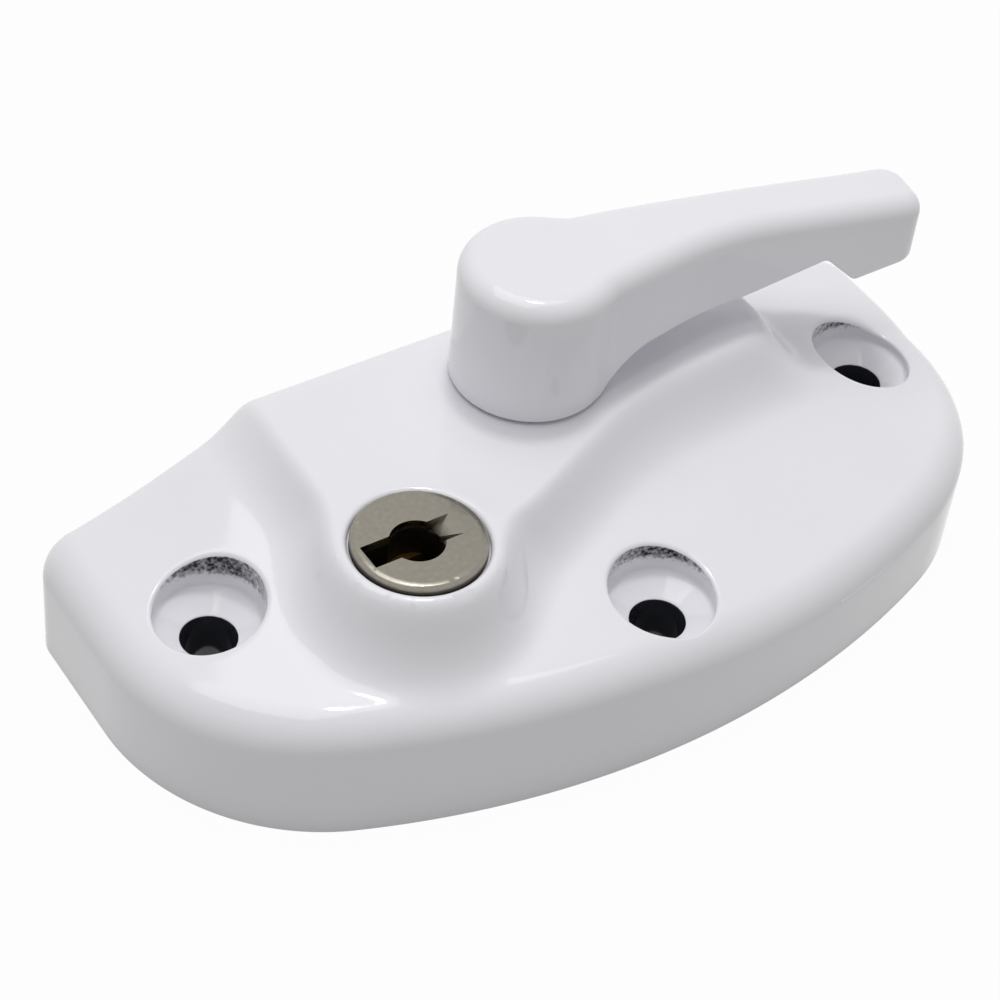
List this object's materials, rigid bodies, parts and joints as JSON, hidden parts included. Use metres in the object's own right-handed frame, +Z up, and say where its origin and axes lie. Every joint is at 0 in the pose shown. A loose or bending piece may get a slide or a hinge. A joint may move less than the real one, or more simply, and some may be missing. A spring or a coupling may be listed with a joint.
{
  "type": "fitch catch",
  "caption": "Keyed window catch: bowed die-cast base, lever that swings a hooked tongue out of the back edge, and a wafer cylinder whose bolt locks it",
  "frame": {"origin": "on the lever's turning axis, at the level of the base's flat underside", "axes": "+X along the straight back edge, +Y to the back, where the tongue comes out, +Z up off the sash"},
  "size_m": [0.088, 0.0463, 0.033],
  "materials": {
    "white_coat": "gloss white powder coat on zinc die casting",
    "black_acetal": "moulded black acetal",
    "spring_steel": "oiled spring steel",
    "zinc_plate": "bright zinc plated steel",
    "nickel_plate": "polished nickel plate with fine turning marks",
    "wafer_brass": "stamped brass"
  },
  "bodies": {
    "base": {"body_casting": "white_coat", "thrust_washer": "black_acetal", "cone_washer": "spring_steel", "bolt_cover": "zinc_plate", "cover_screw_1": "zinc_plate", "cover_screw_2": "zinc_plate"},
    "handle": {"lever": "white_coat", "cam": "zinc_plate", "end_washer": "zinc_plate", "cam_screw": "zinc_plate"},
    "cylinder": {"plug": "nickel_plate", "plug_clip": "spring_steel", "wafer_spring_1": "spring_steel", "wafer_spring_2": "spring_steel", "wafer_spring_3": "spring_steel", "wafer_spring_4": "spring_steel"},
    "bolt": {"lock_bolt": "zinc_plate"},
    "wafer_1": {"wafer_1": "wafer_brass"},
    "wafer_2": {"wafer_2": "wafer_brass"},
    "wafer_3": {"wafer_3": "wafer_brass"},
    "wafer_4": {"wafer_4": "wafer_brass"}
  },
  "joints": [
    {"name": "handle_turn", "type": "hinge", "parent": "base", "child": "handle", "pos_m": [0, 0, 0], "axis": [0, 0, -1], "range_deg": [0, 110]},
    {"name": "plug_turn", "type": "hinge", "parent": "base", "child": "cylinder", "pos_m": [-0.0195, -0.0135, 0], "axis": [0, 0, -1], "range_deg": [0, 90]},
    {"name": "bolt_slide", "type": "slide", "parent": "base", "child": "bolt", "axis": [0.8222, 0.5692, 0], "range_m": [0, 0.00311]},
    {"name": "wafer_slide_1", "type": "slide", "parent": "cylinder", "child": "wafer_1", "axis": [-1, 0, 0], "range_m": [0, 0.00045], "deforming": ["wafer_spring_1"]},
    {"name": "wafer_slide_2", "type": "slide", "parent": "cylinder", "child": "wafer_2", "axis": [1, 0, 0], "range_m": [0, 0.00045], "deforming": ["wafer_spring_2"]},
    {"name": "wafer_slide_3", "type": "slide", "parent": "cylinder", "child": "wafer_3", "axis": [-1, 0, 0], "range_m": [0, 0.00045], "deforming": ["wafer_spring_3"]},
    {"name": "wafer_slide_4", "type": "slide", "parent": "cylinder", "child": "wafer_4", "axis": [1, 0, 0], "range_m": [0, 0.00045], "deforming": ["wafer_spring_4"]}
  ],
  "couplings": [
    {"joint": "plug_turn", "follows": "bolt_slide", "rad_per_m": 504.87},
    {"joint": "wafer_slide_2", "follows": "wafer_slide_1", "ratio": 1},
    {"joint": "wafer_slide_3", "follows": "wafer_slide_1", "ratio": 1},
    {"joint": "wafer_slide_4", "follows": "wafer_slide_1", "ratio": 1}
  ]
}
